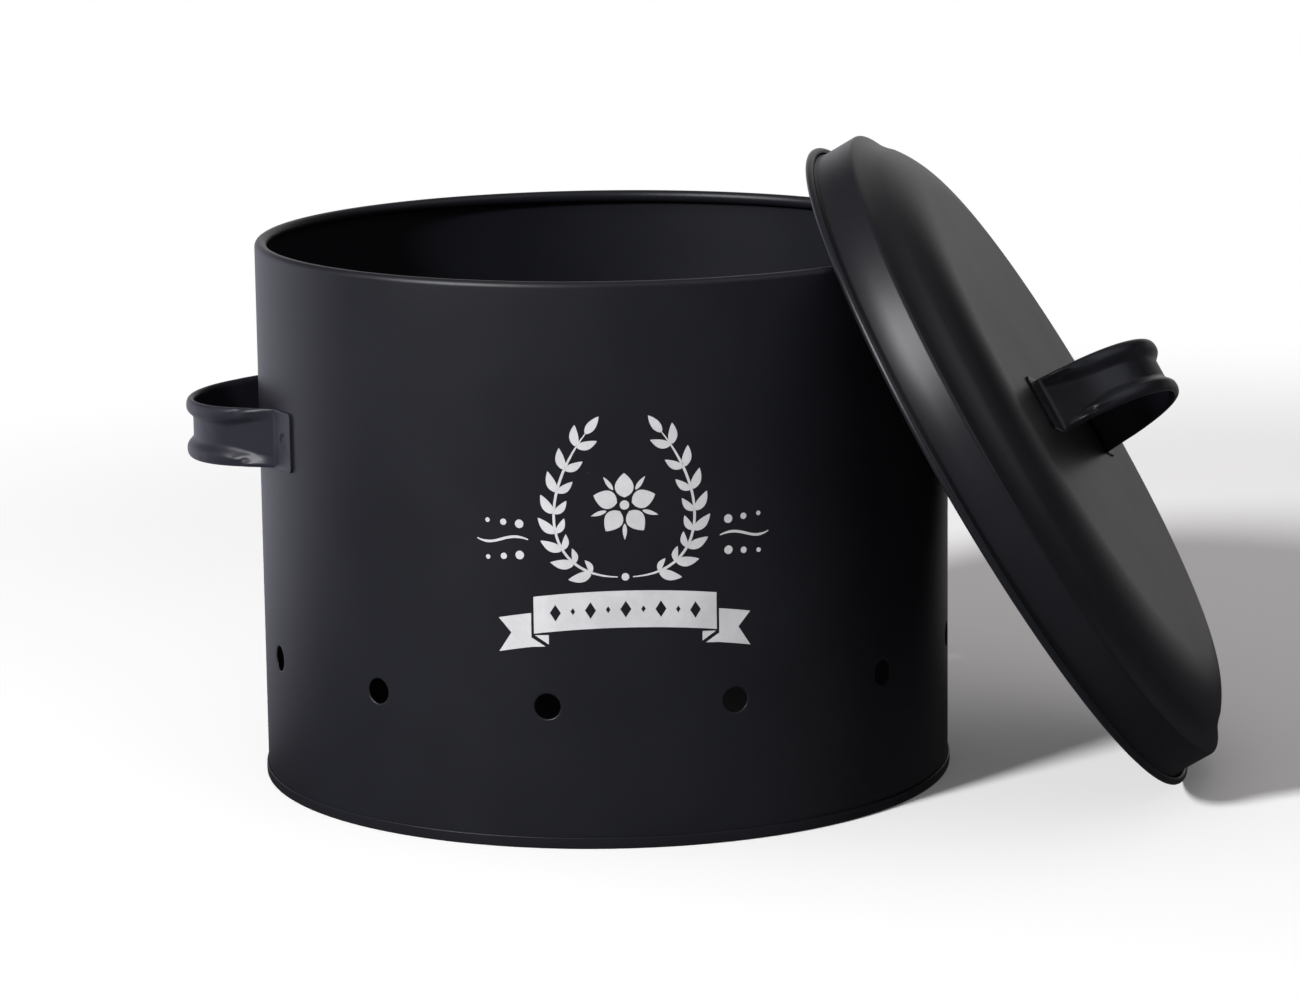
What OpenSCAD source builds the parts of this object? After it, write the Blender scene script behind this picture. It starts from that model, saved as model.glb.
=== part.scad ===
// Round storage bin of sheet steel with two side handles, a ring of vent holes
// and a lift-off lid. The lid stands on the floor and leans on the bin's rim.
// Origin: centre of the bin's foot on the floor. The bin's front faces -Y.

/* [Bin] */
// Outside diameter of the bin
bin_d = 250; // [200:1:320]
// Height from the floor to the top of the rim
bin_h = 196; // [160:1:240]
// Thickness of the sheet that the bin and the lid are made of
sheet_t = 0.6; // [0.4:0.1:1]
// Outer radius of the rim's curl, which rolls inward
rim_r = 2.2; // [1.6:0.1:3.2]

/* [Foot seam] */
// Height of the seam that folds the base round the wall
seam_h = 4; // [3:0.5:8]
// Height of the base disc above the floor
base_lift = 3; // [1.5:0.5:6]
// Outer radius of the fold's corners
seam_round = 1; // [0.8:0.1:1.2]

/* [Vent holes] */
// Number of holes round the bin
vent_count = 12; // [6:1:18]
// Diameter of a hole
vent_d = 9; // [5:0.5:14]
// Height of the holes above the floor
vent_z = 50; // [30:1:80]
// Turn of the first hole away from the front
vent_turn = 17.5; // [0:0.5:30]

/* [Strap handles] */
// Width of the strap
strap_w = 21.2; // [16:0.2:30]
// Thickness of the strap's sheet
strap_t = 0.7; // [0.5:0.1:0.8]
// Height of the curl along each edge of the strap
curl_h = 5; // [4:0.2:6.5]
// Depth of the curl, from the strap's inner face outward
curl_depth = 3.1; // [2.8:0.1:4]
// Inside radius of the loop's round end
loop_r = 36; // [30:0.5:42]
// Half the distance between the two bends at the feet
foot_at = 41.5; // [36:0.5:48]
// Length over both feet, end to end
handle_span = 109; // [100:1:130]
// Inside radius of the bend at a foot
bend_r = 3; // [2:0.5:5]
// Length over which the curls are pressed flat towards a foot
crush_l = 6; // [3:0.5:9]
// Reach of a side handle beyond the wall
side_reach = 26.2; // [22:0.2:34]
// Depth of the side handles' centre below the rim
handle_drop = 66; // [45:1:90]
// Diameter of a spot weld's dimple
weld_d = 5; // [3:0.5:7]
// Depth of a spot weld's dimple
weld_sink = 0.25; // [0.1:0.05:0.35]

/* [Lid] */
// Gap between the wall and the inside of the lid's skirt
lid_gap = 1.4; // [0.8:0.1:3]
// Height of the skirt above the middle of its bead
skirt_h = 16.5; // [12:0.5:24]
// Outer radius of the bead along the skirt's edge
lid_bead_r = 2.2; // [1.6:0.1:3]
// How far the skirt flares out to meet its bead
flare = 0.8; // [0.4:0.1:1.5]
// Width of the sloping shoulder
shoulder_w = 10.5; // [6:0.5:16]
// Rise of the sloping shoulder
shoulder_h = 5; // [3:0.5:8]
// Width of the dome's rounded flank
dome_w = 19.5; // [12:0.5:28]
// Rise of the dome's rounded flank
dome_h = 8.9; // [6:0.1:14]
// Height of the lid's handle above the lid
lid_reach = 39; // [34:0.5:44]
// Turn of the lid's handle about the lid's axis
lid_handle_turn = -18; // [-90:1:90]

/* [Leaning lid] */
// Turn of the leaning lid from +X towards the front
lean_turn = 11.5; // [0:0.5:40]
// Gap between the lid's bead and the rim where they meet
lean_gap = 0.4; // [0.3:0.1:1]
// Headroom between the rim and the lid's top
headroom = 4.4; // [2:0.1:6]

/* [Hidden] */

steel = [0.12, 0.12, 0.13];
round_fn = 144;
small_fn = 48;
arc_step = 12;

// Clearances between sheets that are folded or welded together
seam_gap = 0.1;
weld_gap = 0.05;

// Slit that is left where a strap's curl is pressed flat
hem_slit = 0.2;

// Angles at which the curls end, and how much further the strap's curl is rolled in
rim_curl = 282;
bead_curl = 130;
hem_end = -90;
strap_curl = 25;

// Steps round a strap's curl, degrees between its rings, and rings on its straight runs
// and on its feet
curl_steps = 8;
ring_step = 11;
run_steps = 3;
foot_steps = 5;

// Angle between the lid's axis and the rim where the rim crosses the bead
cross_a = 54;

// Tilts between which the leaning lid's own is found, and the halvings that find it
tilt_low = 20;
tilt_high = 75;
tilt_steps = 24;

bin_r = bin_d / 2;
handle_z = bin_h - handle_drop;

// The lid's own frame has its origin in the plane of the bead's centre
skirt_r = bin_r + lid_gap;
mouth_r = skirt_r + flare;
bead_ring_r = mouth_r + lid_bead_r;
flare_h = lid_bead_r + flare;
shoulder_r = skirt_r - shoulder_w;
dome_top_r = shoulder_r - dome_w;
shoulder_z = skirt_h + shoulder_h;
lid_top = shoulder_z + dome_h;

// Where the rim's curl meets the lid's mouth, halfway round the curl's shoulder
rim_meet_r = bin_r - rim_r * (1 - cos(45));
rim_meet_z = bin_h - rim_r * (1 - sin(45));

// Height and distance of the leaning lid's centre, for a tilt of the lid's axis
function lean_z(tilt) = bead_ring_r * cos(tilt) + lid_bead_r;
function lean_x(tilt) =
    let (rise = rim_meet_z - lean_z(tilt),
         run = rise * tan(tilt),
         free_r = bead_ring_r - (lid_bead_r + lean_gap) / cos(cross_a))
    run + sqrt(max(0, run ^ 2 + rim_meet_r ^ 2 + rise ^ 2 - free_r ^ 2));

// How deep the rim reaches into the leaning lid, and the tilt that leaves the headroom
function rim_depth(tilt) =
    (bin_r - lean_x(tilt)) * cos(tilt) + (bin_h - lean_z(tilt)) * sin(tilt);
function lean_tilt(low, high, rounds) =
    let (middle = (low + high) / 2)
    rounds <= 0 ? middle
    : rim_depth(middle) > lid_top - headroom ? lean_tilt(middle, high, rounds - 1)
    : lean_tilt(low, middle, rounds - 1);
tilt = lean_tilt(tilt_low, tilt_high, tilt_steps);

// Points on an ellipse's arc about a centre, from angle a to angle b
function stepped_arc(c, rx, ry, a, b, steps) =
    [for (i = [0:steps]) let (k = a + (b - a) * i / steps) c + [rx * cos(k), ry * sin(k)]];
function arc(c, rx, ry, a, b) = stepped_arc(c, rx, ry, a, b, ceil(abs(b - a) / arc_step));
function round_arc(c, r, a, b) = arc(c, r, r, a, b);
function backward(p) = [for (i = [len(p) - 1:-1:0]) p[i]];
function flipped(p) = [for (q = backward(p)) [q[0], -q[1]]];

// Outline of a sheet with one face on a path and its thickness t to the path's left
function unit(v) = v / norm(v);
function left_of(v) = [-v[1], v[0]];
function leg_at(p, i) = unit(p[i + 1] - p[i]);
function side_at(p, i) =
    let (a = left_of(leg_at(p, max(i - 1, 0))),
         b = left_of(leg_at(p, min(i, len(p) - 2))),
         m = unit(a + b))
    m / (m * a);
function sheet(p, t) =
    concat(p, backward([for (i = [0:len(p) - 1]) p[i] + t * side_at(p, i)]));

module turned_sheet(path, t) {
    rotate_extrude($fn = round_fn) polygon(sheet(path, t));
}

// Wall of the bin, with its curled rim and the vent holes
module bin_wall() {
    foot_z = max(seam_round, sheet_t + seam_gap);
    curl_c = [bin_r - rim_r, bin_h - rim_r];
    color(steel) difference() {
        turned_sheet(concat([[bin_r, foot_z]], round_arc(curl_c, rim_r, 0, rim_curl)), sheet_t);
        for (i = [0:vent_count - 1])
            rotate([0, 0, vent_turn - 90 + i * 360 / vent_count])
                translate([bin_r - 4 * sheet_t, 0, vent_z])
                    rotate([0, 90, 0]) cylinder(d = vent_d, h = 8 * sheet_t, $fn = small_fn);
    }
}

// Base disc, folded down inside the wall, under its edge and up outside it
module base_plate() {
    in_r = bin_r - 2 * sheet_t - seam_gap;
    out_r = bin_r + sheet_t + seam_gap;
    fold_c = [out_r - seam_round, seam_round];
    color(steel) turned_sheet(concat(
        [[0, base_lift], [in_r, base_lift], [in_r, 0]],
        round_arc(fold_c, seam_round, -90, 0),
        [[out_r, seam_h]]), sheet_t);
}

// Outline of the strap: x runs outward from its inner face, y across its width.
// curl is 1 where its edges are rolled and 0 where they are pressed flat.
function strap_section(curl) =
    let (flat_depth = 2 * strap_t + hem_slit,
         depth = flat_depth + (curl_depth - flat_depth) * curl,
         last = hem_end - strap_curl * curl,
         c = [depth / 2, strap_w / 2 - curl_h / 2],
         outside = stepped_arc(c, depth / 2, curl_h / 2, 180, last, curl_steps),
         inside = stepped_arc(c, depth / 2 - strap_t, curl_h / 2 - strap_t, last, 180, curl_steps))
    concat(outside, inside, flipped(inside), flipped(outside));

// A stop on the strap's way: a point of its inner face, the angle of its outward side, its curl
function stop(p, a, curl) = [p[0], p[1], a, curl];
function opposite(stops) = [for (s = backward(stops)) stop([s[0], -s[1]], -s[2], s[3])];
function polar(r, a) = [r * cos(a), r * sin(a)];
function spread(a, b, steps) = [for (i = [0:steps]) a + (b - a) * i / steps];
function turns(a, b) = spread(a, b, ceil(abs(b - a) / ring_step));
function ring_at(s) =
    [for (q = strap_section(s[3])) [s[0] + q[0] * cos(s[2]), s[1] + q[0] * sin(s[2]), q[1]]];

// Strap along its stops, from one foot's end to the other's
module swept_strap(stops) {
    n = len(strap_section(1));
    m = len(stops);
    sides = [for (i = [0:m - 2], j = [0:n - 1])
        let (a = i * n + j, b = i * n + (j + 1) % n)
        each [[a, b, b + n], [a, b + n, a + n]]];
    ends = [[for (j = [n - 1:-1:0]) j], [for (j = [0:n - 1]) (m - 1) * n + j]];
    polyhedron([for (s = stops) each ring_at(s)], concat(sides, ends));
}

// Loop handle on a wall of radius mount_r, or on a flat face if that is 0.
// x runs outward from the face, y along the strap's feet and z across the strap.
module strap_handle(reach, mount_r) {
    bend_out = bend_r + strap_t;
    lift = weld_gap + bend_out;
    on_wall = mount_r > 0;
    foot_a = on_wall ? asin(foot_at / mount_r) : 0;
    end_a = on_wall ? asin(handle_span / 2 / mount_r) : 0;
    bend_c = on_wall ? polar(mount_r + lift, foot_a) - [mount_r, 0] : [lift, foot_at];
    loop_c = [reach - curl_depth - loop_r, 0];
    apart = bend_c - loop_c;
    leg_a = atan2(apart[1], apart[0]) - acos((loop_r + bend_out) / norm(apart));
    leg_top = loop_c + polar(loop_r, leg_a);
    leg_foot = bend_c - polar(bend_out, leg_a);
    along = unit(leg_foot - leg_top);
    foot = on_wall
        ? [for (a = spread(foot_a, end_a, foot_steps)) if (a > foot_a)
            stop(polar(mount_r + weld_gap, a) - [mount_r, 0], a, 0)]
        : [stop([weld_gap, handle_span / 2], 0, 0)];
    half = concat(
        [for (a = turns(0, leg_a)) stop(loop_c + polar(loop_r, a), a, 1)],
        [for (k = spread(1, 0, run_steps)) stop(leg_foot - k * crush_l * along, leg_a, k)],
        [for (a = turns(leg_a, foot_a)) if (a < leg_a) stop(bend_c - polar(bend_out, a), a, 0)],
        foot);
    dimple_r = (weld_d ^ 2 / 4 + weld_sink ^ 2) / (2 * weld_sink);
    weld_at = (foot_at + handle_span / 2) / 2;
    weld_a = on_wall ? asin(weld_at / mount_r) : 0;

    difference() {
        swept_strap(concat(opposite(half), [for (i = [1:len(half) - 1]) half[i]]));
        for (side = [0, 1]) mirror([0, side, 0])
            translate([-mount_r, on_wall ? 0 : weld_at, 0]) rotate(weld_a)
                translate([mount_r + weld_gap + strap_t + dimple_r - weld_sink, 0, 0])
                    sphere(dimple_r, $fn = small_fn);
    }
}

module right_handle() {
    color(steel) translate([bin_r, 0, handle_z]) strap_handle(side_reach, bin_r);
}
module left_handle() {
    mirror([1, 0, 0]) right_handle();
}

// Places the lid's own frame where the lid leans, its top facing out and up
module leaning() {
    rotate([0, 0, -lean_turn])
        translate([lean_x(tilt), 0, lean_z(tilt)])
            rotate([0, 90 - tilt, 0]) children();
}

// Lid pressed from one sheet: bead, skirt, shoulder, dome and flat top
module lid_pan() {
    color(steel) leaning() turned_sheet(concat(
        round_arc([bead_ring_r, 0], lid_bead_r, bead_curl, -180),
        [[skirt_r, flare_h], [skirt_r, skirt_h]],
        arc([dome_top_r, shoulder_z], dome_w, dome_h, 0, 90),
        [[0, lid_top]]), -sheet_t);
}

module lid_handle() {
    color(steel) leaning()
        translate([0, 0, lid_top + sheet_t])
            rotate([0, 0, lid_handle_turn]) rotate([0, -90, 0]) strap_handle(lid_reach, 0);
}

bin_wall();
base_plate();
left_handle();
right_handle();
lid_pan();
lid_handle();
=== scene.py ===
import math

import bmesh
import bpy
from mathutils import Matrix, Vector, noise


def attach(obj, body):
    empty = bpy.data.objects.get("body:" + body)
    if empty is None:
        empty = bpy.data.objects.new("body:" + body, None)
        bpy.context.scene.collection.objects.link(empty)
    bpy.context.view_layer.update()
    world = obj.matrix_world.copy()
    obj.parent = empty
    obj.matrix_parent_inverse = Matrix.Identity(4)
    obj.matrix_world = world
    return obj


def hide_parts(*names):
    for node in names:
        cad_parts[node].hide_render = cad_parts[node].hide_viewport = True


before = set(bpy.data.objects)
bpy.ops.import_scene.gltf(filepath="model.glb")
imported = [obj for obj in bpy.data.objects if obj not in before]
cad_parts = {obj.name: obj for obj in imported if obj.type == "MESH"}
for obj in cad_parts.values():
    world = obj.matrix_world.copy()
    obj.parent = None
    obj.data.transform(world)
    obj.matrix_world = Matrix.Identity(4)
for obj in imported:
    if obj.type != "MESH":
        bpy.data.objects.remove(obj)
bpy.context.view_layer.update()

mm = 0.001


class Wire:  # an output socket that can be used in sums
    def __init__(self, finish, socket):
        self.finish, self.socket = finish, socket

    def other(self, output):
        return Wire(self.finish, self.socket.node.outputs[output])

    def sum(self, operation, first, second):
        return self.finish.add("ShaderNodeMath", {"operation": operation}, {0: first, 1: second})

    def __add__(self, other):
        return self.sum("ADD", self, other)

    def __sub__(self, other):
        return self.sum("SUBTRACT", self, other)

    def __rsub__(self, other):
        return self.sum("SUBTRACT", other, self)

    def __mul__(self, other):
        return self.sum("MULTIPLY", self, other)

    def __truediv__(self, other):
        return self.sum("DIVIDE", self, other)

    def __rtruediv__(self, other):
        return self.sum("DIVIDE", other, self)

    def __pow__(self, other):
        return self.sum("POWER", self, other)

    def __rpow__(self, other):
        return self.sum("POWER", other, self)

    __radd__ = __add__
    __rmul__ = __mul__


class Finish:  # a node tree and the one way to add a node to it
    def __init__(self, holder):
        self.holder = holder
        holder.use_nodes = True
        self.tree = holder.node_tree
        self.tree.nodes.clear()

    def add(self, kind, settings={}, sockets={}, output=0):
        node = self.tree.nodes.new(kind)
        for key, value in settings.items():
            setattr(node, key, value)
        for key, value in sockets.items():
            if isinstance(value, Wire):
                self.tree.links.new(value.socket, node.inputs[key])
            else:
                node.inputs[key].default_value = value
        return Wire(self, node.outputs[output]) if node.outputs else None

    def noise(self, place, size, detail):
        return self.add("ShaderNodeTexNoise", {},
                        {"Vector": place, "Scale": 1 / size, "Detail": detail})

    def ramp(self, value, low, high):
        return self.add("ShaderNodeMapRange", {"interpolation_type": "SMOOTHSTEP"},
                        {"Value": value, "From Min": low, "From Max": high})

    def blend(self, factor, first, second, style="MIX"):
        return self.add("ShaderNodeMix", {"data_type": "RGBA", "blend_type": style},
                        {"Factor": factor, 6: first, 7: second}, output=2)

    def bump(self, height, depth, below=None):
        sockets = {"Height": height, "Distance": depth, "Strength": 1.0}
        if below:
            sockets["Normal"] = below
        return self.add("ShaderNodeBump", {}, sockets)

    def split(self, vector):
        x = self.add("ShaderNodeSeparateXYZ", {}, {0: vector})
        return x, x.other(1), x.other(2)

    def glow(self, tone, strength=1.0, kind="ShaderNodeEmission"):
        return self.add(kind, {}, {"Color": tone, "Strength": strength})

    def choose(self, factor, first, second):
        return self.add("ShaderNodeMixShader", {}, {0: factor, 1: first, 2: second})

    def done(self, shader, kind="ShaderNodeOutputMaterial"):
        self.add(kind, {}, {"Surface": shader})
        return self.holder


# satin powder coat: a soft orange peel, a fine grain, broad clouds, the pressed sheet's slight
# lumps and a few pale specks of dust
coat = {
    "peelSize": 1.3 * mm, "peelDepth": 0.006 * mm, "lumpSize": 11 * mm,
    "grainSize": 0.32 * mm, "grainDepth": 0.0035 * mm, "grainEdge": (0.35, 0.65),
    "grainShade": 0.25, "grainRough": 0.1,
    "cloudSize": 45 * mm, "cloudEdge": (0.3, 0.7), "cloudShade": 0.35, "cloudRough": 0.07,
    "darkest": 0.86, "palest": 1.3,
    "speckSpacing": 9 * mm, "speckEdge": (0.012, 0.03), "speckShare": 0.16,
    "speckTone": (0.16, 0.16, 0.165, 1),
}


def powderCoat(name, colour, roughness, refraction, lumpDepth):
    finish = Finish(bpy.data.materials.new(name))
    place = finish.add("ShaderNodeTexCoord", output="Object")
    cloud = finish.noise(place, coat["cloudSize"], 3)
    peel = finish.noise(place, coat["peelSize"], 2)
    grain = finish.noise(place, coat["grainSize"], 1)
    lump = finish.noise(place, coat["lumpSize"], 1)
    speck = finish.add("ShaderNodeTexVoronoi", {},
                       {"Vector": place, "Scale": 1 / coat["speckSpacing"]})
    dust = 1 - finish.ramp(speck, *coat["speckEdge"])
    shade = (finish.ramp(cloud, *coat["cloudEdge"]) * coat["cloudShade"]
             + finish.ramp(grain, *coat["grainEdge"]) * coat["grainShade"])
    dark, pale = ([part * coat[end] for part in colour] + [1] for end in ("darkest", "palest"))
    tone = finish.blend(dust * coat["speckShare"], finish.blend(shade, dark, pale),
                        coat["speckTone"])
    rough = roughness + (cloud - 0.5) * coat["cloudRough"] + (grain - 0.5) * coat["grainRough"]
    relief = finish.bump(lump, lumpDepth)
    relief = finish.bump(peel, coat["peelDepth"], relief)
    relief = finish.bump(grain, coat["grainDepth"], relief)
    return finish.done(finish.add("ShaderNodeBsdfPrincipled", {}, {
        "Base Color": tone, "Roughness": rough, "IOR": refraction, "Normal": relief}))


# screen-printed pale silver, slightly uneven and thin in places
silver = {
    "cloudSize": 12 * mm, "cloudEdge": (0.25, 0.75), "cloudShade": 0.5,
    "grainSize": 0.3 * mm, "grainDepth": 0.003 * mm, "grainEdge": (0.3, 0.7),
    "grainShade": 0.3, "grainRough": 0.12,
    "thin": (0.40, 0.40, 0.415, 1), "full": (0.56, 0.56, 0.575, 1),
    "roughness": 0.46, "metallic": 0.15,
}


def silverInk(name):
    finish = Finish(bpy.data.materials.new(name))
    place = finish.add("ShaderNodeTexCoord", output="Object")
    cloud = finish.noise(place, silver["cloudSize"], 3)
    grain = finish.noise(place, silver["grainSize"], 2)
    shade = (finish.ramp(cloud, *silver["cloudEdge"]) * silver["cloudShade"]
             + finish.ramp(grain, *silver["grainEdge"]) * silver["grainShade"])
    return finish.done(finish.add("ShaderNodeBsdfPrincipled", {}, {
        "Base Color": finish.blend(shade, silver["thin"], silver["full"]),
        "Roughness": silver["roughness"] + (grain - 0.5) * silver["grainRough"],
        "Metallic": silver["metallic"],
        "Normal": finish.bump(grain, silver["grainDepth"])}))


binCoat = powderCoat("binCoat", colour=(0.0072, 0.0075, 0.0105), roughness=0.40,
                     refraction=1.47, lumpDepth=0.02 * mm)
lidCoat = powderCoat("lidCoat", colour=(0.0066, 0.0068, 0.0092), roughness=0.36,
                     refraction=1.5, lumpDepth=0.03 * mm)
handleCoat = powderCoat("handleCoat", colour=(0.0120, 0.0123, 0.0185), roughness=0.37,
                        refraction=1.5, lumpDepth=0.3 * mm)
lidHandleCoat = powderCoat("lidHandleCoat", colour=(0.0070, 0.0074, 0.0105), roughness=0.32,
                           refraction=1.5, lumpDepth=0.3 * mm)
printInk = silverInk("printInk")
print("finishes made")


def line(points, corners=()):
    # profile in the XZ plane, radius and height in mm, some corners rounded: (which, cut, steps)
    bm = bmesh.new()
    verts = [bm.verts.new((r * mm, 0, z * mm)) for r, z in points]
    for pair in zip(verts, verts[1:]):
        bm.edges.new(pair)
    for which, cut, steps in corners:
        bmesh.ops.bevel(bm, geom=[verts[which]], offset=cut * mm, offset_type="OFFSET",
                        segments=steps, profile=0.5, affect="VERTICES", material=-1)
    return bm


def curl(centre, radius, start, end, steps):
    return [(centre[0] + radius * math.cos(a), centre[1] + radius * math.sin(a))
            for a in (math.radians(start + (end - start) * i / steps) for i in range(steps + 1))]


def turn(bm, columns):
    bmesh.ops.spin(bm, geom=bm.verts[:] + bm.edges[:], cent=(0, 0, 0), axis=(0, 0, 1),
                   angle=2 * math.pi, steps=columns, use_merge=True, use_duplicate=False)
    bmesh.ops.remove_doubles(bm, verts=bm.verts[:], dist=0.002 * mm)
    bmesh.ops.recalc_face_normals(bm, faces=bm.faces[:])


def makePiece(bm, name, body, finish, nodes=(), sharp=50):
    mesh = bpy.data.meshes.new(name)
    bm.to_mesh(mesh)
    bm.free()
    mesh.materials.append(finish)
    mesh.shade_smooth()
    mesh.set_sharp_from_angle(angle=math.radians(sharp))
    piece = bpy.data.objects.new(name, mesh)
    bpy.context.collection.objects.link(piece)
    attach(piece, body)
    if nodes:
        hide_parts(*nodes)
    return piece


def softenEdges(piece, width, angle):
    edges = piece.modifiers.new("edges", "BEVEL")
    edges.width, edges.segments = width * mm, 2
    edges.limit_method, edges.angle_limit = "ANGLE", math.radians(angle)
    edges.harden_normals = True


def sheetMetal(piece, thickness, offset, edge=0.12):
    # gives the surface its sheet thickness and takes the sharpness off the cut edges
    sheet = piece.modifiers.new("thickness", "SOLIDIFY")
    sheet.thickness, sheet.offset = thickness * mm, offset
    sheet.use_even_offset = True
    softenEdges(piece, edge, 40)


# the bin's wall; rollIn lists the rings round a hole: how much wider each is, and how far sunk
wall = {
    "radius": 125.0, "height": 196.0, "sheet": 0.6, "foot": 1.0, "columns": 576,
    "rimRadius": 2.2, "rimCurl": 282, "rimSteps": 28,
    "rowsBelow": [12, 28], "rowsAbove": [72, 96, 120, 144, 168, 184],
    "holes": 12, "holeRadius": 4.5, "holeHeight": 50.0, "firstHole": 17.5,
    "patchColumns": 4, "patchRows": 4,
    "rollIn": ((0.62, 0), (0.34, 0.03), (0.12, 0.12), (0, 0.3)),
}


def makeWall():
    radius, holeHeight = wall["radius"], wall["holeHeight"]
    pitch = 2 * math.pi / wall["columns"]
    rowHeight = radius * pitch
    half = wall["patchRows"] * rowHeight
    rows = [holeHeight + rowHeight * i for i in range(-wall["patchRows"], wall["patchRows"] + 1)]
    rim = (radius - wall["rimRadius"], wall["height"] - wall["rimRadius"])
    heights = [wall["foot"]] + wall["rowsBelow"] + rows + wall["rowsAbove"]
    bm = line([(radius, z) for z in heights]
              + curl(rim, wall["rimRadius"], 0, wall["rimCurl"], wall["rimSteps"]))
    start = math.radians(wall["firstHole"] - 90)
    bmesh.ops.rotate(bm, verts=bm.verts[:], cent=(0, 0, 0),
                     matrix=Matrix.Rotation(start, 3, "Z"))
    turn(bm, wall["columns"])

    # a square of faces makes room for each hole, and rings of edges roll the sheet in to it
    spacing = 2 * math.pi / wall["holes"]
    slack = 0.1
    reach = (wall["patchColumns"] + slack) * pitch
    gone = []
    for face in bm.faces:
        middle = face.calc_center_median()
        away = (math.atan2(middle.y, middle.x) - start + spacing / 2) % spacing - spacing / 2
        if abs(away) < reach and abs(middle.z / mm - holeHeight) < half:
            gone.append(face)
    bmesh.ops.delete(bm, geom=gone, context="FACES")
    edges = [e for e in bm.edges
             if e.is_boundary and abs(e.verts[0].co.z / mm - holeHeight) < half + slack]
    for hole in range(wall["holes"]):
        angle = start + hole * spacing
        aim = Vector((math.cos(angle), math.sin(angle)))
        loop = [e for e in edges if e.verts[0].co.xy.normalized().dot(aim) > 0.99]
        for wider, sunk in wall["rollIn"]:
            ring = bmesh.ops.create_circle(bm, cap_ends=False, segments=len(loop),
                                           radius=(wall["holeRadius"] + wider) * mm)["verts"]
            out = (radius - sunk) * mm
            for v in ring:
                bend = angle + v.co.x / (radius * mm)
                v.co = Vector((out * math.cos(bend), out * math.sin(bend),
                               v.co.y + holeHeight * mm))
            inner = list(dict.fromkeys(e for v in ring for e in v.link_edges))
            bmesh.ops.bridge_loops(bm, edges=loop + inner)
            loop = inner
    bmesh.ops.recalc_face_normals(bm, faces=bm.faces[:])
    piece = makePiece(bm, "binWall", "bin", binCoat, ["bin_wall"])
    sheetMetal(piece, wall["sheet"], -1)


makeWall()
print("wall made")


# the base disc with its folded seam
base = {
    "lift": 3.0, "rows": [0, 40, 80, 112], "columns": 288, "sheet": 0.6, "gap": 0.1,
    "corner": 1.0, "cornerSteps": 5, "edge": 0.26,
    "seamHeight": 4.0, "seamRound": 1.0, "seamSteps": 6,
}


def makeBase():
    inside = wall["radius"] - 2 * base["sheet"] - base["gap"]
    outside = wall["radius"] + base["sheet"] + base["gap"]
    points = [(r, base["lift"]) for r in base["rows"] + [inside]] + [(inside, 0.0)]
    points += curl((outside - base["seamRound"], base["seamRound"]), base["seamRound"],
                   -90, 0, base["seamSteps"])
    points += [(outside, base["seamHeight"])]
    bm = line(points, [(len(base["rows"]), base["corner"], base["cornerSteps"])])
    turn(bm, base["columns"])
    # the disc's upper face has to look up, and the fold outward
    disc = [f for f in bm.faces if f.calc_center_median().length < 0.1]
    if sum(f.normal.z * f.calc_area() for f in disc) < 0:
        bmesh.ops.reverse_faces(bm, faces=bm.faces[:])
    piece = makePiece(bm, "basePlate", "bin", binCoat, ["base_plate"])
    sheetMetal(piece, base["sheet"], 1, base["edge"])


makeBase()
print("base made")


# the strap handles: crush and narrowing are the lengths over which the rolled edges flatten and
# draw in towards a foot, and the hem is what is left of them there
strap = {
    "width": 21.2, "sheet": 0.7, "curlWidth": 5.0, "curlDepth": 3.1, "loopRadius": 36.0,
    "footAt": 41.5, "span": 109.0, "bendRadius": 3.0, "gap": 0.05, "corner": 1.6,
    "crush": 15.0, "narrowing": 25.0, "pressedFrom": 0.6, "crumple": 0.4,
    "crumpleSize": (4.6, 1.9), "crumpleSeed": 3.5, "filletFrom": 3.0, "crownSlope": 1.25,
    "hemFrom": 6.6, "hemDepth": 0.84, "hemWidth": 0.5, "hemBulge": 0.55,
    "weldRadius": 2.3, "weldSink": 0.6, "weldEdge": 0.95, "edge": 0.1,
    "loopSteps": 40, "legSteps": 20, "bendSteps": 12, "footSteps": 40,
    "webSteps": 18, "riseSteps": 12, "rollSteps": 14, "innerSteps": 8,
}


def mix(a, b, k):
    return a + (b - a) * k


def ease(k):
    k = min(max(k, 0), 1)
    return k * k * (3 - 2 * k)


def polar(radius, angle):
    return Vector((math.cos(angle), math.sin(angle))) * radius


def strapSection(rolled, wide):
    # half outline from the middle of the outer face, over the rolled edge, to the middle of the
    # inner face: depth and distance across
    sheet, halfWidth = strap["sheet"], strap["width"] / 2
    webSteps, riseSteps, rollSteps, innerSteps = (
        strap[part + "Steps"] for part in ("web", "rise", "roll", "inner"))
    depth = mix(strap["hemDepth"], strap["curlDepth"], rolled)
    valley = mix(strap["hemFrom"], strap["filletFrom"], wide)
    crown = halfWidth - strap["curlWidth"] / 2 * mix(strap["hemWidth"], 1, wide)
    outline = [(sheet, valley * i / webSteps) for i in range(webSteps + 1)]
    for i in range(1, riseSteps + 1):  # up from the web to the crown of the edge
        k = i / riseSteps
        rise = mix(k, math.sin(ease(k) * math.pi / 2) ** strap["crownSlope"], wide)
        outline.append((sheet + (depth - sheet) * rise, mix(valley, crown, k)))
    for i in range(1, rollSteps + 1):  # round the edge
        a = math.pi * i / rollSteps
        out = (halfWidth - crown) * math.sin(a) ** mix(strap["hemBulge"], 1, rolled)
        outline.append((depth / 2 * (1 + math.cos(a)), crown + out))
    return outline + [(0, crown * (1 - i / innerSteps)) for i in range(1, innerSteps + 1)]


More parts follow.
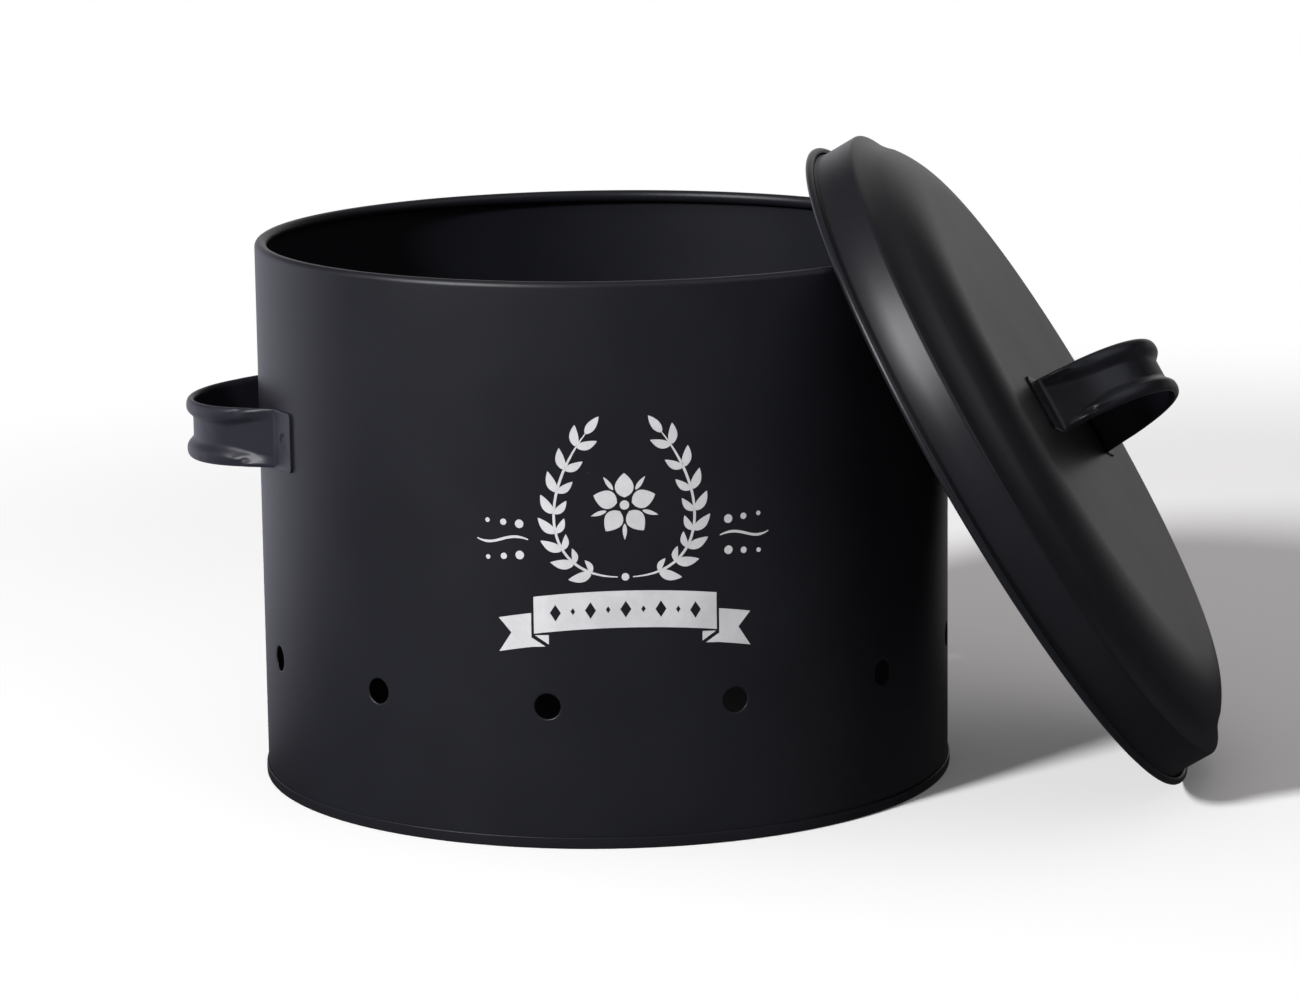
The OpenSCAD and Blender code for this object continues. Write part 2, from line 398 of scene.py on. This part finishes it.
def strapStations(reach, mountRadius):
    # half the strap's way, from the middle of its loop to a foot's end: place, outward angle,
    # how far its edges are rolled and how wide, the way left to the foot's end, the foot's length
    loopRadius, gap, halfSpan = strap["loopRadius"], strap["gap"], strap["span"] / 2
    loopSteps, legSteps, bendSteps, footSteps = (
        strap[part + "Steps"] for part in ("loop", "leg", "bend", "foot"))
    bendOut = strap["bendRadius"] + strap["sheet"]
    if mountRadius:
        footAngle = math.asin(strap["footAt"] / mountRadius)
        endAngle = math.asin(halfSpan / mountRadius)
        bend = polar(mountRadius + gap + bendOut, footAngle) - Vector((mountRadius, 0))
    else:
        footAngle = 0
        bend = Vector((gap + bendOut, strap["footAt"]))
    loop = Vector((reach - strap["curlDepth"] - loopRadius, 0))
    apart = bend - loop
    legAngle = math.atan2(apart.y, apart.x) - math.acos((loopRadius + bendOut) / apart.length)
    legTop = loop + polar(loopRadius, legAngle)
    legFoot = bend - polar(bendOut, legAngle)

    turns = [legAngle * i / loopSteps for i in range(loopSteps + 1)]
    way = [(loop + polar(loopRadius, a), a) for a in turns]
    way += [(legTop.lerp(legFoot, i / legSteps), legAngle) for i in range(1, legSteps + 1)]
    turns = [mix(legAngle, footAngle, i / bendSteps) for i in range(1, bendSteps + 1)]
    way += [(bend - polar(bendOut, a), a) for a in turns]
    for k in (i / footSteps for i in range(1, footSteps + 1)):
        if mountRadius:
            a = mix(footAngle, endAngle, k)
            way.append((polar(mountRadius + gap, a) - Vector((mountRadius, 0)), a))
        else:
            way.append((Vector((gap, mix(strap["footAt"], halfSpan, k))), 0))

    left = [0]
    for (a, _), (b, _) in zip(reversed(way), list(reversed(way))[1:]):
        left.append(left[-1] + (a - b).length)
    left.reverse()
    footStart = len(way) - 1 - footSteps
    footLength = left[footStart]
    pressed = mix(left[footStart - bendSteps], footLength, strap["pressedFrom"])
    stations = []
    for (point, angle), remaining in zip(way, left):
        rolled, wide = (ease((remaining - pressed) / strap[end]) for end in ("crush", "narrowing"))
        stations.append((point, angle, rolled, wide, remaining, footLength))
    return stations


def strapPoint(station, depth, across, side):
    point, angle, rolled, wide, remaining, footLength = station
    # the rolled edges crumple a little where the press flattens them
    if depth > strap["sheet"]:
        long, broad = strap["crumpleSize"]
        dent = noise.noise(Vector((remaining / long, across / broad, side * strap["crumpleSeed"])))
        depth += (depth - strap["sheet"]) * strap["crumple"] * dent * 4 * wide * (1 - wide)
    # rounded corners at the foot's end
    corner = strap["corner"]
    tuck = corner - remaining
    room = corner - math.sqrt(max(0, corner ** 2 - tuck ** 2)) if tuck > 0 else 0
    limit = strap["width"] / 2 - room
    across = max(-limit, min(limit, across))
    # spot weld: a round dimple with a firm edge, in the outer face only
    if rolled == 0 and depth > 0.1:
        away = math.hypot(remaining - footLength / 2, across)
        depth -= strap["weldSink"] * ease((strap["weldRadius"] - away) / strap["weldEdge"] + 0.5)
    x = point.x + depth * math.cos(angle)
    y = point.y + depth * math.sin(angle)
    return Vector((x, y * side, across))


def makeStrap(name, node, body, reach, mountRadius, droop, place, finish):
    half = strapStations(reach, mountRadius)
    rings = []
    for station, side in [(s, -1) for s in reversed(half)] + [(s, 1) for s in half[1:]]:
        outline = strapSection(station[2], station[3])
        whole = outline + [(depth, -across) for depth, across in reversed(outline[1:-1])]
        rings.append([strapPoint(station, *where, side) for where in whole + whole[:1]])
    bm = bmesh.new()
    bmesh.ops.create_grid(bm, x_segments=len(rings[0]) - 1, y_segments=len(rings) - 1, size=1)
    fall = math.tan(math.radians(droop))
    for v, spot in zip(bm.verts, (spot for ring in rings for spot in ring)):
        v.co = (spot - Vector((0, 0, spot.x * fall))) * mm
    bmesh.ops.remove_doubles(bm, verts=bm.verts[:], dist=0.0005 * mm)
    bmesh.ops.holes_fill(bm, edges=[e for e in bm.edges if e.is_boundary], sides=0)
    bmesh.ops.transform(bm, matrix=place, verts=bm.verts[:])
    bmesh.ops.recalc_face_normals(bm, faces=bm.faces[:])
    piece = makePiece(bm, name, body, finish, [node], 55)
    softenEdges(piece, strap["edge"], 50)


# the side handles hang a little: droop is in degrees
sideHandle = {"reach": 26.2, "height": 130.2, "droop": 3.15}


def makeSideHandle(name, node, mirror):
    place = mirror @ Matrix.Translation(Vector((wall["radius"], 0, sideHandle["height"])) * mm)
    makeStrap(name, node, "bin", sideHandle["reach"], wall["radius"], sideHandle["droop"],
              place, handleCoat)


makeSideHandle("rightHandle", "right_handle", Matrix.Identity(4))
makeSideHandle("leftHandle", "left_handle", Matrix.Scale(-1, 4, (1, 0, 0)))
print("side handles made")


# the lid: the first three lines are the solid's and say where it leans. The section made here
# has a slimmer bead on the same footing, and a lower crease and top
lid = {
    "top": 30.4, "gap": 1.4, "flare": 0.8, "beadRadius": 2.2, "headroom": 4.4,
    "leanTurn": 11.5, "leanGap": 0.4, "crossing": 54.0, "rimMeets": 45.0,
    "tilts": (20, 75), "halvings": 24,
    "slimBead": 1.5, "beadCurl": 130, "beadSteps": 30, "footing": (0.857, -0.515),
    "skirtOut": 0.8, "skirtRows": [(0.7, 0.3), (0, 1.5), (0, 9.0)],
    "crease": 15.1, "creaseCut": 0.6, "creaseSteps": 7,
    "shoulderWidth": 6.0, "shoulderRise": 3.05,
    "domeSlope": 44.0, "skipped": 7.0, "domeWidth": 26.8, "domeSteps": 22,
    "domeCut": 3.6, "domeCutSteps": 9, "flatTop": 29.6, "topRows": [72, 48, 24, 8, 0],
    "columns": 432, "sheet": 0.6, "reach": 39.0, "handleTurn": -18.0, "handleShift": 1.5,
}


def leaningPlace():
    # where the lid stands on the floor and leans on the rim, found as the solids find it
    ring = wall["radius"] + lid["gap"] + lid["flare"] + lid["beadRadius"]
    meet = math.radians(lid["rimMeets"])
    meetRadius = wall["radius"] - wall["rimRadius"] * (1 - math.cos(meet))
    meetHeight = wall["height"] - wall["rimRadius"] * (1 - math.sin(meet))
    free = ring - (lid["beadRadius"] + lid["leanGap"]) / math.cos(math.radians(lid["crossing"]))

    def centre(tilt):
        height = ring * math.cos(tilt) + lid["beadRadius"]
        rise = meetHeight - height
        run = rise * math.tan(tilt)
        room = run ** 2 + meetRadius ** 2 + rise ** 2 - free ** 2
        return run + math.sqrt(max(0, room)), height

    low, high = (math.radians(tilt) for tilt in lid["tilts"])
    for _ in range(lid["halvings"]):
        tilt = (low + high) / 2
        x, z = centre(tilt)
        deep = (wall["radius"] - x) * math.cos(tilt) + (wall["height"] - z) * math.sin(tilt)
        low, high = (tilt, high) if deep > lid["top"] - lid["headroom"] else (low, tilt)
    x, z = centre(tilt)
    return (Matrix.Rotation(math.radians(-lid["leanTurn"]), 4, "Z")
            @ Matrix.Translation(Vector((x, 0, z)) * mm)
            @ Matrix.Rotation(math.pi / 2 - tilt, 4, "Y"))


def makeLid():
    place, top = leaningPlace(), lid["flatTop"]
    mouth = wall["radius"] + lid["gap"]
    skirt = mouth + lid["skirtOut"]
    # the slimmer bead moves towards the point where the solid's bead meets the floor
    footing = Vector(lid["footing"]) * (lid["beadRadius"] - lid["slimBead"])
    ring = mouth + lid["flare"] + lid["beadRadius"] + footing.x
    points = curl((ring, footing.y), lid["slimBead"], lid["beadCurl"], -180, lid["beadSteps"])
    points += [(skirt + out, z) for out, z in lid["skirtRows"]]
    creaseAt, domeAt = len(points), len(points) + 1
    shoulder = skirt - lid["shoulderWidth"]
    points += [(skirt, lid["crease"]), (shoulder, lid["crease"] + lid["shoulderRise"])]
    # the flank is one arc that comes level at the flat top
    bend = lid["domeWidth"] / math.sin(math.radians(lid["domeSlope"]))
    for i in range(lid["domeSteps"] + 1):
        a = math.radians((lid["domeSlope"] - lid["skipped"]) * (1 - i / lid["domeSteps"]))
        points.append((shoulder - lid["domeWidth"] + bend * math.sin(a),
                       top - bend * (1 - math.cos(a))))
    points += [(r, top) for r in lid["topRows"]]
    bm = line(points, [(creaseAt, lid["creaseCut"], lid["creaseSteps"]),
                       (domeAt, lid["domeCut"], lid["domeCutSteps"])])
    turn(bm, lid["columns"])
    # the top's faces have to look outward before the sheet gets its thickness
    if sum(f.normal.z for f in bm.faces if f.calc_center_median().z > 0.95 * top * mm) < 0:
        bmesh.ops.reverse_faces(bm, faces=bm.faces[:])
    bmesh.ops.transform(bm, matrix=place, verts=bm.verts[:])
    piece = makePiece(bm, "lidPan", "lid", lidCoat, ["lid_pan"])
    sheetMetal(piece, lid["sheet"], 1)
    onTop = Matrix.Translation((-lid["handleShift"] * mm, 0, (top + lid["sheet"]) * mm))
    handlePlace = (place @ onTop @ Matrix.Rotation(math.radians(lid["handleTurn"]), 4, "Z")
                   @ Matrix.Rotation(-math.pi / 2, 4, "Y"))
    makeStrap("lidHandle", "lid_handle", "lid", lid["reach"], 0, 0, handlePlace, lidHandleCoat)


makeLid()
print("lid made")


# the print on the front is laid out flat, in mm to the right and mm up, and wrapped on the wall
ink = {
    "height": 0.06, "sunk": 0.03, "columns": 26, "columnWidth": 2.0,
    "leafSteps": 12, "leafTip": 0.8, "leafRound": 0.85, "dotSides": 20,
    "taper": 6, "thinnest": 0.4,
}


def patch(bm, columns, rows, shape):
    # a grid of faces bent into a flat shape
    for v in bmesh.ops.create_grid(bm, x_segments=columns, y_segments=rows, size=1)["verts"]:
        x, z = shape(v.co.x, v.co.y)
        v.co = Vector((x * mm, z * mm, 0))


def leaf(bm, start, aim, length, width, bow=0.0):
    forward = polar(1, math.radians(aim))
    sideways = Vector((-forward.y, forward.x))

    def shape(a, b):
        k = (a + 1) / 2
        swell = math.sin(math.pi * k ** ink["leafTip"]) ** ink["leafRound"] if 0 < k < 1 else 0
        out = b * width / 2 * swell + bow * math.sin(math.pi * k)
        return start + forward * length * k + sideways * out
    patch(bm, ink["leafSteps"], 2, shape)


def along(points, k):
    # the place and the way ahead on a smooth curve drawn by four points
    work = [Vector(point) for point in points]
    while len(work) > 1:
        ahead = work[1] - work[0]
        work = [a.lerp(b, k) for a, b in zip(work, work[1:])]
    return work[0], ahead


def stroke(bm, points, width, steps):
    # a line along such a curve that tapers at both ends
    def shape(a, b):
        k = (a + 1) / 2
        ahead = along(points, min(1, k + 0.01))[0] - along(points, max(0, k - 0.01))[0]
        sideways = Vector((-ahead.y, ahead.x)).normalized()
        taper = mix(ink["thinnest"], 1, min(1, ink["taper"] * k, ink["taper"] * (1 - k)))
        return along(points, k)[0] + sideways * b * width / 2 * taper
    patch(bm, steps, 1, shape)


def dot(bm, x, z, radius):
    circle = bmesh.ops.create_circle(bm, cap_ends=True, segments=ink["dotSides"],
                                     radius=radius * mm)
    for v in circle["verts"]:
        v.co += Vector((x * mm, z * mm, 0))


# the wreath: two sprigs that rise from a knot, with leaves on both sides of each stem. A size is
# a leaf's share at the stem's foot and the share that it gains on the way up
wreath = {
    "stem": ((2.6, 95.2), (28, 96.0), (30, 122), (13, 144.5)), "stemWidth": 0.9, "stemSteps": 40,
    "leaves": 8, "firstLeaf": 0.13, "leafStep": 0.115,
    "leafLength": 8.6, "leafWidth": 3.5, "leafBow": 0.5,
    "inner": {"lean": 42, "size": (0.54, 0.34)}, "outer": {"lean": -36, "size": (1.0, -0.12)},
    "tipLean": 38, "tipLength": 7.6, "tipWidth": 3.1, "knot": 1.3,
}


def makeWreath(bm):
    for side in (-1, 1):
        stem = [(side * x, z) for x, z in wreath["stem"]]
        stroke(bm, stem, wreath["stemWidth"], wreath["stemSteps"])
        for i in range(wreath["leaves"]):
            k = wreath["firstLeaf"] + wreath["leafStep"] * i
            start, ahead = along(stem, k)
            heading = math.degrees(math.atan2(ahead.y, ahead.x))
            for row, bow in (("inner", wreath["leafBow"]), ("outer", -wreath["leafBow"])):
                share, gain = wreath[row]["size"]
                size = share + gain * k
                leaf(bm, start, heading + side * wreath[row]["lean"],
                     wreath["leafLength"] * size, wreath["leafWidth"] * size, side * bow)
        leaf(bm, Vector(stem[-1]), 90 + side * wreath["tipLean"],
             wreath["tipLength"], wreath["tipWidth"])
    dot(bm, 0, wreath["stem"][0][1], wreath["knot"])


# the blossom in the wreath
blossom = {
    "height": 120, "petals": 5, "petalFrom": 2.6, "petalLength": 8.4, "petalWidth": 6.4,
    "sepalFrom": 6.4, "sepalLength": 5.6, "sepalWidth": 1.5, "heart": 1.6,
}


def makeBlossom(bm):
    centre = Vector((0, blossom["height"]))
    step = 360 / blossom["petals"]
    for i in range(blossom["petals"]):
        for row, aim in (("petal", 90 + step * i), ("sepal", 90 + step * (i + 0.5))):
            start = centre + polar(blossom[row + "From"], math.radians(aim))
            leaf(bm, start, aim, blossom[row + "Length"], blossom[row + "Width"])
    dot(bm, 0, blossom["height"], blossom["heart"])


# a wave between two rows of shrinking dots on both sides
flourish = {
    "wave": ((33, 108), (41, 111.2), (44, 104.6), (51, 108)), "waveWidth": 0.9, "waveSteps": 24,
    "dots": (1.5, 1.1, 0.8), "dotFrom": 36, "dotStep": 5.6, "above": 113.4, "below": 102.6,
    "spread": 0.5,
}


def makeFlourishes(bm):
    for side in (-1, 1):
        wave = [(side * x, z) for x, z in flourish["wave"]]
        stroke(bm, wave, flourish["waveWidth"], flourish["waveSteps"])
        for i, radius in enumerate(flourish["dots"]):
            x = side * (flourish["dotFrom"] + flourish["dotStep"] * i)
            dot(bm, x, flourish["above"] + flourish["spread"] * i, radius)
            dot(bm, x, flourish["below"] - flourish["spread"] * i, radius)


# the ribbon: an arched band with a row of bare lozenges, and a folded tail behind each end. The
# last two are wedges: where its point is, the way to its far end, and how wide it is there
ribbon = {
    "height": 82.4, "arch": 0.0022, "halfLength": 31.5, "rise": 1.6, "halfWidth": 6.4,
    "lozenges": 4, "lozengeStep": 6, "bigLozenge": (1.9, 2.9), "smallLozenge": (0.8, 1.2),
    "roundLozenge": (3.2, 6.6),
    "tailAt": 38.1, "tailHalf": 5.7, "tailDrop": 3.4, "tailHalfWidth": 5.9, "notch": 4.4,
    "fold": ((31.2, 74.86705), (-4.8, 0.2), -3.3),
    "turned": ((27.6, 71.05476), (4.85, -0.25), 3.3),
}


def arch(x):
    return ribbon["height"] - ribbon["arch"] * x * x


def cutLozenge(bm, centre, wide, tall):
    middle = arch(centre) + ribbon["rise"]

    def offset(face):
        spot = face.calc_center_median()
        return abs(spot.x / mm - centre), abs(spot.y / mm - middle)

    for x, z in [(x * wide, z * tall) for x in (-1, 1) for z in (-1, 1)]:
        nearX, nearZ = ribbon["roundLozenge"]
        near = [f for f in bm.faces if offset(f)[0] < nearX and offset(f)[1] < nearZ]
        geometry = dict.fromkeys(part for f in near for part in (*f.verts, *f.edges, f))
        bmesh.ops.bisect_plane(bm, geom=list(geometry), dist=1e-7,
                               plane_co=((centre + x) * mm, middle * mm, 0),
                               plane_no=(1 / x, 1 / z, 0))
    inside = [f for f in bm.faces if offset(f)[0] / wide + offset(f)[1] / tall < 1]
    bmesh.ops.delete(bm, geom=inside, context="FACES")


def makeRibbon(bm):
    halfLength, rise, halfWidth = ribbon["halfLength"], ribbon["rise"], ribbon["halfWidth"]
    patch(bm, 48, 4, lambda a, b: (a * halfLength, arch(a * halfLength) + rise + b * halfWidth))
    for i in range(-ribbon["lozenges"], ribbon["lozenges"] + 1):  # every other one is small
        size = ribbon["smallLozenge"] if i % 2 else ribbon["bigLozenge"]
        cutLozenge(bm, ribbon["lozengeStep"] * i, *size)
    for side in (-1, 1):
        def tail(a, b):
            notch = ribbon["notch"] * (1 - abs(b)) * (a + 1) / 2
            x = ribbon["tailAt"] + ribbon["tailHalf"] * a - notch
            return side * x, arch(x) - ribbon["tailDrop"] + b * ribbon["tailHalfWidth"]

        patch(bm, 12, 6, tail)
        for part in ("fold", "turned"):  # the back of the band's end, and the tail's corner
            (x, z), (run, climb), width = ribbon[part]

            def wedge(a, b):
                k = (a + 1) / 2
                return side * (x + run * k), z + climb * k + (b + 1) / 2 * width * k
            patch(bm, 6, 3, wedge)


def makePrint():
    bm = bmesh.new()
    makeWreath(bm)
    makeBlossom(bm)
    makeFlourishes(bm)
    makeRibbon(bm)
    bm.normal_update()
    bmesh.ops.reverse_faces(bm, faces=[f for f in bm.faces if f.normal.z < 0])
    for i in range(-ink["columns"], ink["columns"] + 1):  # so that the ink follows the round wall
        bmesh.ops.bisect_plane(bm, geom=bm.verts[:] + bm.edges[:] + bm.faces[:], dist=1e-6,
                               plane_co=(i * ink["columnWidth"] * mm, 0, 0), plane_no=(1, 0, 0))
    bmesh.ops.remove_doubles(bm, verts=bm.verts[:], dist=0.01 * mm)
    reach = (wall["radius"] - ink["sunk"]) * mm
    for v in bm.verts:
        angle = v.co.x / (wall["radius"] * mm) - math.pi / 2
        v.co = Vector((reach * math.cos(angle), reach * math.sin(angle), v.co.y))
    bm.normal_update()
    bmesh.ops.solidify(bm, geom=bm.faces[:], thickness=-(ink["height"] + ink["sunk"]) * mm)
    makePiece(bm, "frontPrint", "bin", printInk)


makePrint()
print("print made")


# what the coat mirrors: bright panels, each with its aim, its width and its strength
studio = {
    "left": {"aim": (-0.643, 0.766), "from": 0.60, "share": 0.65, "tone": (0.95, 0.95, 1.11, 1)},
    "back": {"aim": (0.342, 0.940), "from": 0.66, "share": 0.245, "tone": (1, 0.955, 0.95, 1)},
    "behind": {"aim": (0.17, 0.93, 0.33), "from": 0.88, "share": 0.42, "tone": (1, 0.98, 0.97, 1)},
    "side": {"aim": (0.56, -0.35, 0.75), "from": 0.80, "share": 0.45, "tone": (0.95, 0.97, 1, 1)},
    "front": (0.07, 0.07, 0.076, 1), "above": (0.15, 0.15, 0.155, 1),
    "darkFrom": (0.1, 0.5), "aboveFrom": (0.45, 0.8), "black": (0, 0, 0, 1), "white": (1, 1, 1, 1),
}


def panel(finish, tone, name, *way):
    settings = studio[name]
    facing = sum(part * aim for part, aim in zip(way, settings["aim"]))
    share = finish.ramp(facing, settings["from"], 1.0) * settings["share"]
    return finish.blend(share, tone, settings["tone"], "ADD")


def surroundings(finish, x, y):
    return panel(finish, panel(finish, studio["front"], "back", x, y), "left", x, y)


# the floor keeps its shadow near the object and fades to white far away. To glossy rays it is a
# glow of the studio's panels, a painted reflection, and nearDark and nearDarkTo dim what the coat
# mirrors of it close by, a painted shade
floor = {
    "size": 14.0, "middle": (0, 1.5, 0), "tone": (0.93, 0.93, 0.93, 1), "lift": 0.08,
    "fadeCentre": (0.22, 0.12), "fade": (0.42, 0.85), "nearDark": 0.6, "nearDarkTo": (0.12, 0.6),
}


def makeFloor():
    bm = bmesh.new()
    bmesh.ops.create_grid(bm, x_segments=2, y_segments=2, size=floor["size"] / 2)
    mesh = bpy.data.meshes.new("floor")
    bm.to_mesh(mesh)
    bm.free()
    ground = bpy.data.objects.new("floor", mesh)
    ground.location = floor["middle"]
    bpy.context.collection.objects.link(ground)
    finish = Finish(bpy.data.materials.new("paleFloor"))
    x, y, _ = finish.split(finish.add("ShaderNodeNewGeometry"))
    rays = finish.add("ShaderNodeLightPath")
    pale = finish.add("ShaderNodeBsdfDiffuse", {}, {"Color": floor["tone"]})
    near = finish.add("ShaderNodeAddShader", {},
                      {0: pale, 1: finish.glow(studio["white"], floor["lift"])})
    fadeX, fadeY = x - floor["fadeCentre"][0], y - floor["fadeCentre"][1]
    far = finish.ramp((fadeX * fadeX + fadeY * fadeY) ** 0.5, *floor["fade"])
    seen = finish.choose(far, near, finish.glow(studio["white"]))
    away = (x * x + y * y) ** 0.5
    # painted shade: the floor's mirrored glow is darkened close to the object
    dark = (1 - finish.ramp(away, *floor["nearDarkTo"])) * floor["nearDark"]
    tone = finish.blend(dark, surroundings(finish, x / away, y / away), studio["black"])
    # glossy rays see the floor as a glow of the studio's panels, a painted reflection
    mesh.materials.append(finish.done(finish.choose(
        rays.other("Is Glossy Ray"), finish.choose(rays, pale, seen), finish.glow(tone))))


makeFloor()


# the key lamp lights without a reflection of its own, and the card is only a reflection
light = {
    "key": {"aim": (-0.645, -0.615, 0.457), "distance": 4.0, "size": 0.6, "power": 232.0},
    "card": {"aim": (-0.671, -0.455, 0.585), "distance": 2.2, "size": 1.3, "power": 42.0},
    "centre": (0.05, 0, 0.1), "sky": 0.30, "skyTone": (1, 0.958, 0.970, 1),
}


def softbox(name, settings):
    lampData = bpy.data.lights.new(name, "AREA")
    lampData.shape, lampData.size = "DISK", settings["size"]
    lampData.energy = settings["power"]
    lamp = bpy.data.objects.new(name, lampData)
    way = Vector(settings["aim"]).normalized()
    lamp.location = way * settings["distance"] + Vector(light["centre"])
    lamp.rotation_euler = way.to_track_quat("Z", "Y").to_euler()
    bpy.context.collection.objects.link(lamp)
    return lamp


def makeLight():
    softbox("keyLight", light["key"]).visible_glossy = False
    softbox("glossCard", light["card"]).visible_diffuse = False

    # the world: soft light on the object, the panels for what it mirrors, and white in the view
    world = bpy.data.worlds.new("studio")
    bpy.context.scene.world = world
    finish = Finish(world)
    x, y, z = finish.split(finish.add("ShaderNodeTexCoord"))
    rays = finish.add("ShaderNodeLightPath")
    tone = finish.blend(finish.ramp(z, *studio["darkFrom"]), surroundings(finish, x, y),
                        studio["black"])
    tone = finish.blend(finish.ramp(z, *studio["aboveFrom"]), tone, studio["above"], "ADD")
    tone = panel(finish, panel(finish, tone, "behind", x, y, z), "side", x, y, z)
    sky = "ShaderNodeBackground"
    mirrored = finish.glow(tone, kind=sky)
    soft = finish.glow(light["skyTone"], light["sky"], sky)
    lit = finish.choose(rays.other("Is Glossy Ray"), soft, mirrored)
    finish.done(finish.choose(rays, lit, finish.glow(studio["white"], kind=sky)),
                "ShaderNodeOutputWorld")


makeLight()


# the camera: place in metres, angles in radians, lens and sensor in mm
view = {
    "place": (-0.08594, -1.63981, 0.41677), "yaw": 0.0623751, "pitch": -0.192150,
    "roll": -0.0124987, "lens": 126.75, "sensor": 36, "clip": (0.05, 50),
}


def makeCamera():
    yaw, pitch, roll = view["yaw"], view["pitch"], view["roll"]
    ahead = Vector((math.sin(yaw) * math.cos(pitch), math.cos(yaw) * math.cos(pitch),
                    math.sin(pitch)))
    right = Vector((math.cos(yaw), -math.sin(yaw), 0))
    up = right.cross(ahead)
    across = right * math.cos(roll) + up * math.sin(roll)
    upward = up * math.cos(roll) - right * math.sin(roll)
    lens = bpy.data.cameras.new("camera")
    lens.sensor_width, lens.lens = view["sensor"], view["lens"]
    lens.clip_start, lens.clip_end = view["clip"]
    camera = bpy.data.objects.new("camera", lens)
    turned = Matrix((across, upward, -ahead)).transposed().to_4x4()
    camera.matrix_world = Matrix.Translation(view["place"]) @ turned
    bpy.context.collection.objects.link(camera)
    bpy.context.scene.camera = camera


makeCamera()
bpy.context.scene.view_settings.view_transform = "Standard"
print("floor, light and camera made")
